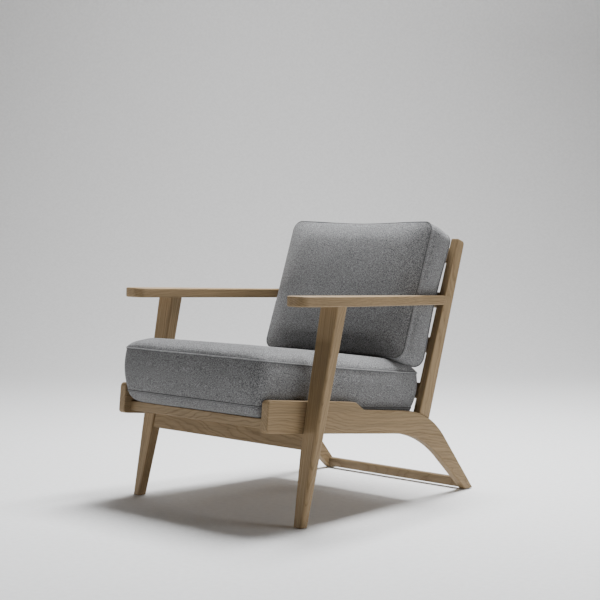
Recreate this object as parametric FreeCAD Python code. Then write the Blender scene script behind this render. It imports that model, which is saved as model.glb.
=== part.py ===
"""Low wooden armchair with a loose seat cushion and a loose back cushion.

Millimetres. +Z is up, the sitter faces -Y, and the chair is symmetric about the plane X = 0.
The origin is on the floor, under the middle of the chair's bounding box.
The two side frames stand a little closer together at the back than at the front.
"""
import FreeCAD, Part
import math
import os

V = FreeCAD.Vector

# ---- side frames -------------------------------------------------------------------------
BOARD_THICKNESS = 26.6
HALF_INNER_FRONT = 284.3        # centre plane to a side rail's inner face, at its front end
TOE_IN_DEG = 1.077              # each side frame turns this much towards the centre at the back
RAIL_FRONT_Y = -438.0
REAR_FOOT_Y = 446.0
SEAT_PITCH_DEG = 5.91           # the seat plane falls towards the back
RAIL_BOTTOM_Z = 212.4           # heights of the rail's three long edges, at Y = 0
RAIL_TOP_REAR_Z = 278.6
RAIL_TOP_FRONT_Z = 300.8
STEP_POINT = (-69.5, 296.9)     # a point on the slanted step between the two top edges
STEP_DEG = 35.7
REAR_LEG_BACK_DEG = 50.83
REAR_LEG_FRONT_DEG = 42.5
REAR_FOOT_LENGTH = 36.5
KNEE_BACK_RADIUS = 250.0
KNEE_FRONT_RADIUS = 355.0
BOARD_EDGE_RADIUS = 3.5
RAIL_FRONT_SLANT = 9.0          # the rail's front end leans back this much over its height
RAIL_FRONT_RADII = (10.0, 12.0)  # bottom and top corner
STEP_RADII = (38.0, 12.0)       # top and foot of the step
FOOT_RADII = (1.5, 3.0)         # back and front corner of the rear foot

# ---- front legs --------------------------------------------------------------------------
LEG_FOOT_FRONT_Y = -355.1
LEG_FOOT_BACK_Y = -327.1
LEG_TOP_FRONT_Y = -235.0
LEG_TOP_BACK_Y = -196.0
LEG_TOP_Z = 581.3
LEG_FOOT_INSET = 14.0           # the foot's inner edge, out from the rail's outer face
LEG_FOOT_OUTSET = 45.0
LEG_TOP_OUTSET = 64.8
LEG_TAPER_Z = 205.0             # below this height the inner face slants outwards
LEG_TAPER_RADIUS = 700.0
LEG_EDGE_RADIUS = 4.5
LEG_FOOT_RADIUS = 11.0          # the outer edges round over towards the foot

# ---- backrest ----------------------------------------------------------------------------
BACK_BASE = (189.2, 255.4)      # where the posts' front edges meet the side rails (Y, Z)
BACK_LEAN_DEG = 19.27
POST_DEPTH_BOTTOM = 49.0
POST_DEPTH_TOP = 33.5
POST_HEIGHT = 533.0             # along the front edge, from the base
POST_TOP_RADII = (3.0, 10.0)    # front and back corner of the top
POST_STUB = (10.0, 28.0, 60.0)  # the tenon in the side rail: width, depth, height
POST_STUB_SETBACK = 10.0        # behind the post's front edge
POST_STUB_DROP = 24.0           # below the base
SLAT_COUNT = 4
SLAT_FIRST = 66.3               # middle of the lowest slat, along the lean
SLAT_PITCH = 138.8
SLAT_HEIGHT = 46.0
SLAT_THICKNESS = 16.0
SLAT_RECESS = 5.0               # the slats' front faces sit behind the posts' front edges
SLAT_EDGE_RADIUS = 4.0
SLAT_TENON_HEIGHT = 30.0
SLAT_TENON_INSET = 4.0

# ---- armrests ----------------------------------------------------------------------------
ARM_THICKNESS = 28.2
ARM_UNDERSIDE_Z = 581.8         # at the pivot below
ARM_PIVOT_Y = -206.0
ARM_PITCH_DEG = 2.12
ARM_EDGE_RADIUS = 4.5
ARM_TIP_Y = -370.0
ARM_TIP_INNER_X = 302.0
ARM_TIP_OUTER_X = 373.0
ARM_TIP_RADIUS = 27.0
ARM_SHOULDER_X = 380.0          # the widest place, over the front leg
ARM_SHOULDER_Y = -215.0
ARM_SHOULDER_RADIUS = 700.0
ARM_NECK_OUTER_X = 303.0        # where the outer edge meets the post's line
ARM_NECK_Y = 215.0
ARM_NECK_RADIUS = 900.0
ARM_END_OUTER_X = 299.5
ARM_END_INNER_X = 280.0
ARM_END_Y = 330.0               # cut back to the post's front face

# ---- cross members -----------------------------------------------------------------------
FRONT_RAIL_Y = -413.5
FRONT_RAIL_DEPTH = 45.0
FRONT_RAIL_HEIGHT = 26.8
FRONT_RAIL_TENON_INSET = 8.0
APRON_FRONT_Y = -308.9
APRON_BOTTOM_Z = 201.6
APRON_THICKNESS = 24.0
APRON_LEAN_DEG = 12.2
APRON_BLANK_HEIGHT = 46.0       # before its top is cut to the side rails' undersides
APRON_TENON_INSET = 7.0
APRON_TENON_SPAN = (8.0, 32.0)  # above the apron's bottom
REAR_RAIL_Y = 204.0
REAR_RAIL_DEPTH = 24.0
REAR_RAIL_HEIGHT = 40.0
REAR_RAIL_TENON_INSET = 7.0
STRETCHER_FRONT_Y = 400.8
STRETCHER_DEPTH = 20.0
STRETCHER_BOTTOM_Z = 6.0
STRETCHER_HEIGHT = 29.0
STRETCHER_EDGE_RADIUS = 6.0
STRETCHER_TENON_INSET = 5.0     # from the front and back faces
STRETCHER_TENON_SPAN = (6.0, 18.0)  # above the stretcher's bottom
MEMBER_EDGE_RADIUS = 3.0        # of the seat rails, the apron and the seat slats
TENON_DEPTH = 14.0

# ---- seat base ---------------------------------------------------------------------------
SEAT_PLANE_Z = 248.6            # top of the seat slats, at Y = 0
SEAT_SLAT_COUNT = 6
SEAT_SLAT_FIRST = -328.0
SEAT_SLAT_PITCH = 99.0
SEAT_SLAT_WIDTH = 60.0
SEAT_SLAT_THICKNESS = 18.0
SEAT_SLAT_END_GAP = 1.0
LEDGER_WIDTH = 22.0
LEDGER_HEIGHT = 16.0
LEDGER_FRONT = -366.0
LEDGER_BACK = 196.0

# ---- cushions ----------------------------------------------------------------------------
CUSHION_GAP = 0.6               # free space kept between a cushion and its neighbours
COVER_THICKNESS = 2.0
SEAT_CUSHION_FRONT_Y = -443.1
SEAT_CUSHION_HEIGHT = 175.2
SEAT_CUSHION_BACK_Y = 260.0     # behind its rear panel, where the side faces' width is set
SEAT_CUSHION_RADII = (26.0, 36.0, 26.0, 14.0)  # front bottom, front top, rear top, rear bottom
SEAT_CUSHION_CORNERS = (24.0, 12.0)  # in plan, front and rear
BACK_CUSHION_THICKNESS = 132.0
BACK_CUSHION_TOP = 549.9        # along the lean, from the base
BACK_CUSHION_HALF_FRONT = 279.0
BACK_CUSHION_HALF_REAR = 266.0
BACK_CUSHION_RADII = (14.0, 20.0, 24.0, 18.0)  # front bottom, front top, rear top, rear bottom
BACK_CUSHION_CORNER = 12.0      # across the lean
ZIP_WIDTH = 8.0
ZIP_THICKNESS = 1.0
ZIP_HALF_LENGTH = 200.0
ZIP_HEIGHTS = {"seat": 300.0, "back": 500.0}  # of the zips' lower edges

# ---- hardware ----------------------------------------------------------------------------
GLIDE_HEIGHT = 2.0
GLIDE_RADIUS = 10.0
GLIDE_SETBACK = 1.0             # in front of the rear foot's middle
GLIDE_NAIL_RADIUS = 1.5
GLIDE_NAIL_LENGTH = 14.0
BOLT_RADIUS = 4.0
BOLT_LENGTH = 62.0
BOLT_HEAD_RADIUS = 8.0
BOLT_HEAD_HEIGHT = 6.0
BOLT_HEIGHTS = (268.0, 308.0)
SOCKET_RADIUS = 3.0
SOCKET_DEPTH = 4.0
INSERT_RADIUS = 6.5
INSERT_LENGTH = 24.0
INSERT_SETBACK = 3.0            # below the leg's inner face
DOWEL_RADIUS = 5.0
DOWEL_LENGTH = 36.0
ARM_LEG_DOWELS = (16.0, 44.0)   # out from the side rail's outer face
ARM_POST_DOWEL_X = 290.0        # clear of the slat's tenon in the post
ARM_POST_DOWEL_Y = 300.0
SCREW_RADIUS = 2.0
SCREW_HEAD_RADIUS = 4.0
SCREW_HEAD_HEIGHT = 2.4
LEDGER_SCREW_YS = (-320.0, -85.0, 150.0)
LEDGER_SCREW_BITE = 14.0        # into the side rail
SLAT_SCREW_OFFSET = 16.0        # behind a seat slat's middle
SLAT_SCREW_BITE = 12.0          # into the ledger

# ---- derived values ----------------------------------------------------------------------
SEAT_SLOPE = -math.tan(math.radians(SEAT_PITCH_DEG))
BACK_SLOPE = math.tan(math.radians(BACK_LEAN_DEG))
BACK_COS = math.cos(math.radians(BACK_LEAN_DEG))
HALF_OUTER_FRONT = HALF_INNER_FRONT + BOARD_THICKNESS
FAR = 2000.0                    # larger than the chair, for cutting blocks
REACH = 500.0                   # half a cross member's length, before it is cut to fit


# ---- geometry helpers --------------------------------------------------------------------
def slanted(point, degrees):
    """A line in the side view, as (height at Y = 0, slope); positive degrees fall towards +Y."""
    slope = -math.tan(math.radians(degrees))
    return (point[1] - slope * point[0], slope)


def meet(first, second):
    """The point (Y, Z) where two side-view lines cross."""
    y = (second[0] - first[0]) / (first[1] - second[1])
    return (y, first[0] + first[1] * y)


def rounded_wire(corners, place):
    """A closed wire through corners (u, v, radius), each turned into a tangent arc.

    place(u, v) gives the 3D point.
    """
    count = len(corners)
    starts, middles, ends = [], [], []
    for index in range(count):
        u, v, radius = corners[index]
        before = corners[index - 1]
        after = corners[(index + 1) % count]
        to_before = V(before[0] - u, before[1] - v, 0).normalize()
        to_after = V(after[0] - u, after[1] - v, 0).normalize()
        half = to_before.getAngle(to_after) / 2.0
        reach = radius / math.tan(half)
        bisector = (to_before + to_after).normalize()
        middle = bisector * (radius / math.sin(half) - radius)
        corner = V(u, v, 0)
        starts.append(corner + to_before * reach)
        middles.append(corner + middle)
        ends.append(corner + to_after * reach)
    edges = []
    for index in range(count):
        points = [place(p.x, p.y) for p in (starts[index], middles[index], ends[index])]
        if corners[index][2] > 0:
            edges.append(Part.Arc(*points).toShape())
        following = starts[(index + 1) % count]
        edges.append(Part.LineSegment(points[2], place(following.x, following.y)).toShape())
    return Part.Wire(edges)


def side_prism(corners, x_from, x_to, inset=0.0):
    """A side-view outline (Y, Z) extruded along X; a positive inset shrinks the outline."""
    wire = rounded_wire(corners, lambda u, v: V(x_from, u, v))
    face = Part.Face(wire)
    if inset:
        face = Part.Face(face.makeOffset2D(-inset).Wires[0])
    return face.extrude(V(x_to - x_from, 0, 0))


def front_prism(corners, y_from, y_to):
    """A front-view outline (X, Z) extruded along Y."""
    wire = rounded_wire(corners, lambda u, v: V(u, y_from, v))
    return Part.Face(wire).extrude(V(0, y_to - y_from, 0))


def plan_prism(corners, z_from, z_to, inset=0.0):
    """A plan outline (X, Y) extruded along Z; a positive inset shrinks the outline."""
    wire = rounded_wire(corners, lambda u, v: V(u, v, z_from))
    face = Part.Face(wire)
    if inset:
        face = Part.Face(face.makeOffset2D(-inset).Wires[0])
    return face.extrude(V(0, 0, z_to - z_from))


def leaning_block(half_length, y_range, z_range, pivot, degrees):
    """A block centred on X = 0, then leaned back about an X axis through pivot (Y, Z)."""
    block = Part.makeBox(2 * half_length, y_range[1] - y_range[0], z_range[1] - z_range[0],
                         V(-half_length, y_range[0], z_range[0]))
    return lean(block, pivot, degrees)


def lean(shape, pivot, degrees):
    """Turn a shape about an X axis through pivot, its top towards the back."""
    leaned = shape.copy()
    leaned.rotate(V(0, pivot[0], pivot[1]), V(1, 0, 0), -degrees)
    return leaned


def back_block(half_length, along, depth):
    """A block in the backrest's plane: along the lean from the base, depth behind the front."""
    y, z = BACK_BASE
    return leaning_block(half_length, (y + depth[0], y + depth[1]), (z + along[0], z + along[1]),
                         BACK_BASE, BACK_LEAN_DEG)


def seat_block(half_length, along, height):
    """A block on the seat plane: along it from Y = 0, height above the seat slats' tops."""
    pivot = (0.0, SEAT_PLANE_Z)
    return leaning_block(half_length, along, (pivot[1] + height[0], pivot[1] + height[1]),
                         pivot, SEAT_PITCH_DEG)


def level_edges(shape):
    """The long straight edges of a cross member, which run along X."""
    return [edge for edge in shape.Edges
            if edge.Length > REACH and isinstance(edge.Curve, Part.Line)
            and abs(edge.Curve.Direction.x) > 0.9999]


def toe_in(shape):
    """Turn a shape built on the straight right-hand side frame to its real angle."""
    turned = shape.copy()
    turned.rotate(V(HALF_INNER_FRONT, RAIL_FRONT_Y, 0), V(0, 0, 1), TOE_IN_DEG)
    return turned


def mirrored(shape):
    """The left-hand twin of a right-hand shape."""
    return shape.mirror(V(0, 0, 0), V(1, 0, 0))


def both_sides(shape):
    """A right-hand shape and its twin, as one group of separate solids."""
    return Part.makeCompound(shape.Solids + mirrored(shape).Solids)


def between_planes(half_width_front):
    """The wedge of space between the two toed-in side planes at a given half width."""
    block = Part.makeBox(FAR + half_width_front, 2 * FAR, 2 * FAR, V(-FAR, -FAR, -FAR / 2))
    right = toe_in(block)
    return right.common(mirrored(right))


def cylinder(radius, length, base, direction):
    """A cylinder that stands on base and points along direction."""
    return Part.makeCylinder(radius, length, base, direction)


def screw(base, direction, length):
    """A countersunk wood screw; base is the middle of its flat head."""
    head = Part.makeCone(SCREW_HEAD_RADIUS, SCREW_RADIUS, SCREW_HEAD_HEIGHT, base, direction)
    shank_base = base + direction * SCREW_HEAD_HEIGHT
    shank = cylinder(SCREW_RADIUS, length - SCREW_HEAD_HEIGHT, shank_base, direction)
    return head.fuse(shank).removeSplitter()


def cut_all(shape, tools):
    """Cut a list of tools out of a shape."""
    return shape.cut(Part.makeCompound(tools))


# ---- side frames -------------------------------------------------------------------------
def side_rail_corners():
    """The side rail and rear leg in one outline, with a radius at each corner."""
    bottom = (RAIL_BOTTOM_Z, SEAT_SLOPE)
    top_front = (RAIL_TOP_FRONT_Z, SEAT_SLOPE)
    top_rear = (RAIL_TOP_REAR_Z, SEAT_SLOPE)
    step = slanted(STEP_POINT, STEP_DEG)
    leg_back = slanted((REAR_FOOT_Y, 0.0), REAR_LEG_BACK_DEG)
    leg_front = slanted((REAR_FOOT_Y - REAR_FOOT_LENGTH, 0.0), REAR_LEG_FRONT_DEG)
    floor = (GLIDE_HEIGHT, 0.0)
    front_bottom = (RAIL_FRONT_Y, bottom[0] + bottom[1] * RAIL_FRONT_Y)
    front_top_y = RAIL_FRONT_Y + RAIL_FRONT_SLANT
    front_top = (front_top_y, top_front[0] + top_front[1] * front_top_y)
    return [
        front_bottom + (RAIL_FRONT_RADII[0],),
        front_top + (RAIL_FRONT_RADII[1],),
        meet(top_front, step) + (STEP_RADII[0],),
        meet(step, top_rear) + (STEP_RADII[1],),
        meet(top_rear, leg_back) + (KNEE_BACK_RADIUS,),
        meet(leg_back, floor) + (FOOT_RADII[0],),
        meet(floor, leg_front) + (FOOT_RADII[1],),
        meet(leg_front, bottom) + (KNEE_FRONT_RADIUS,),
    ]


def side_rail_block():
    """The side rail with square edges, still parallel to the Y axis."""
    return side_prism(side_rail_corners(), HALF_INNER_FRONT, HALF_OUTER_FRONT)


def side_rail():
    block = side_rail_block()
    outline_edges = [edge for edge in block.Edges
                     if abs(edge.BoundBox.XMax - edge.BoundBox.XMin) < 1.0]
    return block.makeFillet(BOARD_EDGE_RADIUS, outline_edges)


def front_leg():
    """A leaning, tapered leg that stands against the outside of the side rail."""
    over = 30.0
    rise = (LEG_TOP_Z + over) / LEG_TOP_Z

    def at_top(foot, top):
        return foot + (top - foot) * rise

    side = side_prism([
        (LEG_FOOT_FRONT_Y, 0.0, 0.0),
        (at_top(LEG_FOOT_FRONT_Y, LEG_TOP_FRONT_Y), LEG_TOP_Z + over, 0.0),
        (at_top(LEG_FOOT_BACK_Y, LEG_TOP_BACK_Y), LEG_TOP_Z + over, 0.0),
        (LEG_FOOT_BACK_Y, 0.0, 0.0),
    ], HALF_OUTER_FRONT - over, HALF_OUTER_FRONT + 3 * over)
    front = front_prism([
        (HALF_OUTER_FRONT + LEG_FOOT_INSET, 0.0, 0.0),
        (HALF_OUTER_FRONT, LEG_TAPER_Z, LEG_TAPER_RADIUS),
        (HALF_OUTER_FRONT, LEG_TOP_Z + over, 0.0),
        (HALF_OUTER_FRONT + at_top(LEG_FOOT_OUTSET, LEG_TOP_OUTSET), LEG_TOP_Z + over, 0.0),
        (HALF_OUTER_FRONT + LEG_FOOT_OUTSET, 0.0, 0.0),
    ], LEG_FOOT_FRONT_Y - over, over)
    leg = side.common(front).removeSplitter()
    standing = [edge for edge in leg.Edges if edge.BoundBox.ZLength > over]
    outer = [edge for edge in standing if edge.CenterOfMass.x > HALF_OUTER_FRONT + LEG_FOOT_OUTSET]
    for edge in outer:
        rising = edge.Vertexes[0].Z < edge.Vertexes[1].Z
        radii = (LEG_FOOT_RADIUS, LEG_EDGE_RADIUS) if rising else (LEG_EDGE_RADIUS, LEG_FOOT_RADIUS)
        same = [found for found in leg.Edges if found.CenterOfMass.isEqual(edge.CenterOfMass, 0.01)]
        leg = leg.makeFillet(*radii, same)
    middle_x = HALF_OUTER_FRONT + LEG_FOOT_OUTSET / 2
    inner = [edge for edge in leg.Edges
             if edge.BoundBox.ZLength > over and edge.CenterOfMass.x < middle_x]
    leg = leg.makeFillet(LEG_EDGE_RADIUS, inner)
    floor = Part.makeBox(FAR, FAR, FAR, V(0, -FAR / 2, GLIDE_HEIGHT - FAR))
    return leg.cut(floor)


def back_post_block():
    """A back post in the side rail's plane, tapering upwards, before its foot is scribed."""
    y, z = BACK_BASE
    below = 60.0
    taper = (POST_DEPTH_BOTTOM - POST_DEPTH_TOP) / POST_HEIGHT
    corners = [
        (y, z - below, 0.0),
        (y, z + POST_HEIGHT, POST_TOP_RADII[0]),
        (y + POST_DEPTH_TOP, z + POST_HEIGHT, POST_TOP_RADII[1]),
        (y + POST_DEPTH_BOTTOM + taper * below, z - below, 0.0),
    ]
    upright = side_prism(corners, HALF_INNER_FRONT, HALF_OUTER_FRONT)
    outline = [edge for edge in upright.Edges if edge.BoundBox.XLength < 1.0
               and edge.CenterOfMass.z > z - below + 1.0]
    return lean(upright.makeFillet(BOARD_EDGE_RADIUS, outline), BACK_BASE, BACK_LEAN_DEG)


def post_tenon():
    """The stub that joins a back post to the side rail below it."""
    y, z = BACK_BASE
    middle = HALF_INNER_FRONT + BOARD_THICKNESS / 2
    corner = V(middle - POST_STUB[0] / 2, y + POST_STUB_SETBACK, z - POST_STUB_DROP)
    stub = Part.makeBox(*POST_STUB, corner)
    return lean(stub, BACK_BASE, BACK_LEAN_DEG)


# ---- backrest, seat base and cross members -----------------------------------------------
def cross_member(block, tenon, half_width):
    """A member that fits between two side planes, with a tenon at each end."""
    body = block.common(between_planes(half_width))
    ends = tenon.common(between_planes(half_width + TENON_DEPTH))
    return body.fuse(ends).removeSplitter()


def back_slat(index):
    middle = SLAT_FIRST + index * SLAT_PITCH
    along = (middle - SLAT_HEIGHT / 2, middle + SLAT_HEIGHT / 2)
    block = back_block(REACH, along, (SLAT_RECESS, SLAT_RECESS + SLAT_THICKNESS))
    block = block.makeFillet(SLAT_EDGE_RADIUS, level_edges(block))
    tenon = back_block(REACH, (middle - SLAT_TENON_HEIGHT / 2, middle + SLAT_TENON_HEIGHT / 2),
                       (SLAT_RECESS + SLAT_TENON_INSET,
                        SLAT_RECESS + SLAT_THICKNESS - SLAT_TENON_INSET))
    return cross_member(block, tenon, HALF_INNER_FRONT), tenon


def front_seat_rail():
    along = (FRONT_RAIL_Y, FRONT_RAIL_Y + FRONT_RAIL_DEPTH)
    block = seat_block(REACH, along, (-FRONT_RAIL_HEIGHT, 0.0))
    block = block.makeFillet(MEMBER_EDGE_RADIUS, level_edges(block))
    inset = FRONT_RAIL_TENON_INSET
    tenon = seat_block(REACH, (along[0] + inset, along[1] - inset),
                       (-FRONT_RAIL_HEIGHT + inset, -inset))
    return cross_member(block, tenon, HALF_INNER_FRONT), tenon


def rear_seat_rail():
    along = (REAR_RAIL_Y, REAR_RAIL_Y + REAR_RAIL_DEPTH)
    block = seat_block(REACH, along, (-REAR_RAIL_HEIGHT, 0.0))
    block = block.makeFillet(MEMBER_EDGE_RADIUS, level_edges(block))
    inset = REAR_RAIL_TENON_INSET
    tenon = seat_block(REACH, (along[0] + inset, along[1] - inset),
                       (-REAR_RAIL_HEIGHT + inset, -inset))
    return cross_member(block, tenon, HALF_INNER_FRONT), tenon


def front_apron():
    """A lower rail between the front legs, with its top against the side rails' undersides."""
    pivot = (APRON_FRONT_Y, APRON_BOTTOM_Z)
    block = leaning_block(REACH, (pivot[0], pivot[0] + APRON_THICKNESS),
                          (pivot[1], pivot[1] + APRON_BLANK_HEIGHT), pivot, APRON_LEAN_DEG)
    block = block.makeFillet(MEMBER_EDGE_RADIUS, level_edges(block)[:2])
    rail_underside = seat_block(REACH, (-FAR / 2, FAR / 2), (underside_of_rail(), FAR))
    tenon = leaning_block(REACH, (pivot[0] + APRON_TENON_INSET,
                                  pivot[0] + APRON_THICKNESS - APRON_TENON_INSET),
                          [pivot[1] + height for height in APRON_TENON_SPAN], pivot, APRON_LEAN_DEG)
    body = block.cut(rail_underside)
    return cross_member(body, tenon, HALF_OUTER_FRONT), tenon


def underside_of_rail():
    """Height of the side rails' undersides, measured square to the seat plane."""
    return (RAIL_BOTTOM_Z - SEAT_PLANE_Z) * math.cos(math.radians(SEAT_PITCH_DEG))


def rear_foot_stretcher():
    y, z = STRETCHER_FRONT_Y, STRETCHER_BOTTOM_Z
    block = Part.makeBox(2 * REACH, STRETCHER_DEPTH, STRETCHER_HEIGHT, V(-REACH, y, z))
    block = block.makeFillet(STRETCHER_EDGE_RADIUS, level_edges(block))
    inset, (low, high) = STRETCHER_TENON_INSET, STRETCHER_TENON_SPAN
    tenon = Part.makeBox(2 * REACH, STRETCHER_DEPTH - 2 * inset, high - low,
                         V(-REACH, y + inset, z + low))
    return cross_member(block, tenon, HALF_INNER_FRONT), tenon


def seat_slat(index):
    middle = SEAT_SLAT_FIRST + index * SEAT_SLAT_PITCH
    along = (middle - SEAT_SLAT_WIDTH / 2, middle + SEAT_SLAT_WIDTH / 2)
    block = seat_block(REACH, along, (-SEAT_SLAT_THICKNESS, 0.0))
    block = block.makeFillet(MEMBER_EDGE_RADIUS, level_edges(block))
    return block.common(between_planes(HALF_INNER_FRONT - SEAT_SLAT_END_GAP))


def seat_ledger():
    """The cleat inside a side rail that carries the seat slats."""
    top = -SEAT_SLAT_THICKNESS
    bar = Part.makeBox(LEDGER_WIDTH, LEDGER_BACK - LEDGER_FRONT, LEDGER_HEIGHT,
                       V(HALF_INNER_FRONT - LEDGER_WIDTH, LEDGER_FRONT,
                         SEAT_PLANE_Z + top - LEDGER_HEIGHT))
    return lean(bar, (0.0, SEAT_PLANE_Z), SEAT_PITCH_DEG)


# ---- armrests ----------------------------------------------------------------------------
def armrest_block():
    """A paddle, broad over the front leg and as narrow as the post at the back."""
    outline = [
        (ARM_TIP_INNER_X, ARM_TIP_Y, ARM_TIP_RADIUS),
        (ARM_TIP_OUTER_X, ARM_TIP_Y, ARM_TIP_RADIUS),
        (ARM_SHOULDER_X, ARM_SHOULDER_Y, ARM_SHOULDER_RADIUS),
        (ARM_NECK_OUTER_X, ARM_NECK_Y, ARM_NECK_RADIUS),
        (ARM_END_OUTER_X, ARM_END_Y, 0.0),
        (ARM_END_INNER_X, ARM_END_Y, 0.0),
    ]
    top = ARM_UNDERSIDE_Z + ARM_THICKNESS
    return lean(plan_prism(outline, ARM_UNDERSIDE_Z, top), (ARM_PIVOT_Y, ARM_UNDERSIDE_Z), ARM_PITCH_DEG)


def behind_posts():
    """Everything behind the posts' front faces."""
    return back_block(FAR / 2, (-FAR / 2, FAR), (0.0, FAR))


def armrest():
    board = armrest_block().cut(behind_posts())
    return board.makeFillet(ARM_EDGE_RADIUS, board.Edges)


def above_arm_underside():
    """Everything above the armrests' undersides."""
    return leaning_block(FAR / 2, (-FAR, FAR), (ARM_UNDERSIDE_Z, FAR),
                         (ARM_PIVOT_Y, ARM_UNDERSIDE_Z), ARM_PITCH_DEG)


# ---- cushions ----------------------------------------------------------------------------
def seat_cushion(inset=0.0):
    """The space of the seat cushion, or of its filling when inset."""
    bottom = (SEAT_PLANE_Z + CUSHION_GAP, SEAT_SLOPE)
    top = (SEAT_PLANE_Z + SEAT_CUSHION_HEIGHT, SEAT_SLOPE)
    rear_shift = (SLAT_RECESS - 2 * CUSHION_GAP) / BACK_COS
    rear = (BACK_BASE[1] - (BACK_BASE[0] + rear_shift) / BACK_SLOPE, 1.0 / BACK_SLOPE)
    front = SEAT_CUSHION_FRONT_Y
    corners = [
        (front, bottom[0] + bottom[1] * front, SEAT_CUSHION_RADII[0]),
        (front, top[0] + top[1] * front, SEAT_CUSHION_RADII[1]),
        meet(top, rear) + (SEAT_CUSHION_RADII[2],),
        meet(rear, bottom) + (SEAT_CUSHION_RADII[3],),
    ]
    profile = side_prism(corners, -REACH, REACH, inset)
    slope = math.tan(math.radians(TOE_IN_DEG))
    half_front = HALF_INNER_FRONT - CUSHION_GAP - slope * (front - RAIL_FRONT_Y)
    back = SEAT_CUSHION_BACK_Y
    half_back = HALF_INNER_FRONT - CUSHION_GAP - slope * (back - RAIL_FRONT_Y)
    front_radius, rear_radius = SEAT_CUSHION_CORNERS
    plan = plan_prism([
        (-half_front, front, front_radius), (half_front, front, front_radius),
        (half_back, back, rear_radius), (-half_back, back, rear_radius),
    ], 0.0, FAR / 2, inset)
    return profile.common(plan).removeSplitter()


def back_cushion(inset=0.0):
    """The space of the back cushion, or of its filling when inset."""
    y, z = BACK_BASE
    rear = SLAT_RECESS - 2 * CUSHION_GAP
    front = rear - BACK_CUSHION_THICKNESS
    seat_top = (SEAT_PLANE_Z + SEAT_CUSHION_HEIGHT + CUSHION_GAP, SEAT_SLOPE)

    def lean_line(depth):
        shifted = y + depth / BACK_COS
        return (z - shifted / BACK_SLOPE, 1.0 / BACK_SLOPE)

    def at(along, depth):
        sine = math.sin(math.radians(BACK_LEAN_DEG))
        return (y + along * sine + depth * BACK_COS, z + along * BACK_COS - depth * sine)

    corners = [
        meet(seat_top, lean_line(front)) + (BACK_CUSHION_RADII[0],),
        at(BACK_CUSHION_TOP, front) + (BACK_CUSHION_RADII[1],),
        at(BACK_CUSHION_TOP, rear) + (BACK_CUSHION_RADII[2],),
        meet(lean_line(rear), seat_top) + (BACK_CUSHION_RADII[3],),
    ]
    profile = side_prism(corners, -REACH, REACH, inset)
    plan = plan_prism([
        (-BACK_CUSHION_HALF_FRONT, y + front, BACK_CUSHION_CORNER),
        (BACK_CUSHION_HALF_FRONT, y + front, BACK_CUSHION_CORNER),
        (BACK_CUSHION_HALF_REAR, y + rear, BACK_CUSHION_CORNER),
        (-BACK_CUSHION_HALF_REAR, y + rear, BACK_CUSHION_CORNER),
    ], z - FAR / 8, z + FAR / 2, inset)
    return profile.common(lean(plan, BACK_BASE, BACK_LEAN_DEG)).removeSplitter()


def zip_strip(z):
    """A closed zip at a height, flat in the cover of a cushion's rear panel."""
    y = BACK_BASE[0] + (SLAT_RECESS - 2 * CUSHION_GAP) / BACK_COS + (z - BACK_BASE[1]) * BACK_SLOPE
    block = Part.makeBox(2 * ZIP_HALF_LENGTH, ZIP_THICKNESS, ZIP_WIDTH,
                         V(-ZIP_HALF_LENGTH, y - ZIP_THICKNESS, z))
    return lean(block, (y, z), BACK_LEAN_DEG)


# ---- hardware ----------------------------------------------------------------------------
def leg_middle_y(z):
    """The middle of a front leg, front to back, at a height."""
    foot = (LEG_FOOT_FRONT_Y + LEG_FOOT_BACK_Y) / 2
    top = (LEG_TOP_FRONT_Y + LEG_TOP_BACK_Y) / 2
    return foot + (top - foot) * z / LEG_TOP_Z


def leg_bolts():
    """Bolts from inside the side rail into the front leg."""
    bolts = []
    for z in BOLT_HEIGHTS:
        start = V(HALF_INNER_FRONT, leg_middle_y(z), z)
        head = cylinder(BOLT_HEAD_RADIUS, BOLT_HEAD_HEIGHT, start, V(1, 0, 0))
        socket = cylinder(SOCKET_RADIUS, SOCKET_DEPTH, start, V(1, 0, 0))
        shank = cylinder(BOLT_RADIUS, BOLT_LENGTH, start, V(1, 0, 0))
        bolts.append(toe_in(head.fuse(shank).removeSplitter().cut(socket)))
    return bolts


def leg_inserts(filled):
    """Threaded inserts in the legs; filled gives their holes."""
    inserts = []
    for z in BOLT_HEIGHTS:
        start = V(HALF_OUTER_FRONT + INSERT_SETBACK, leg_middle_y(z), z)
        sleeve = cylinder(INSERT_RADIUS, INSERT_LENGTH, start, V(1, 0, 0))
        if not filled:
            sleeve = sleeve.cut(cylinder(BOLT_RADIUS, INSERT_LENGTH, start, V(1, 0, 0)))
        inserts.append(toe_in(sleeve))
    return inserts


def bolt_holes():
    """The bolts' holes, with the socket filled."""
    holes = []
    for z in BOLT_HEIGHTS:
        start = V(HALF_INNER_FRONT, leg_middle_y(z), z)
        head = cylinder(BOLT_HEAD_RADIUS, BOLT_HEAD_HEIGHT, start, V(1, 0, 0))
        shank = cylinder(BOLT_RADIUS, BOLT_LENGTH, start, V(1, 0, 0))
        holes.append(toe_in(head.fuse(shank)))
    return holes


def arm_dowels():
    """Two upright dowels from the leg and one level dowel from the post into each armrest."""
    top = (LEG_TOP_FRONT_Y + LEG_TOP_BACK_Y) / 2
    dowels = []
    for outset in ARM_LEG_DOWELS:
        base = V(HALF_OUTER_FRONT + outset, top, ARM_UNDERSIDE_Z - DOWEL_LENGTH / 2)
        dowels.append(cylinder(DOWEL_RADIUS, DOWEL_LENGTH, base, V(0, 0, 1)))
    slope = math.tan(math.radians(ARM_PITCH_DEG))
    middle_z = ARM_UNDERSIDE_Z - slope * (ARM_POST_DOWEL_Y - ARM_PIVOT_Y) + ARM_THICKNESS / 2
    base = V(ARM_POST_DOWEL_X, ARM_POST_DOWEL_Y - DOWEL_LENGTH / 2, middle_z)
    dowels.append(cylinder(DOWEL_RADIUS, DOWEL_LENGTH, base, V(0, 1, 0)))
    return dowels


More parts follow.
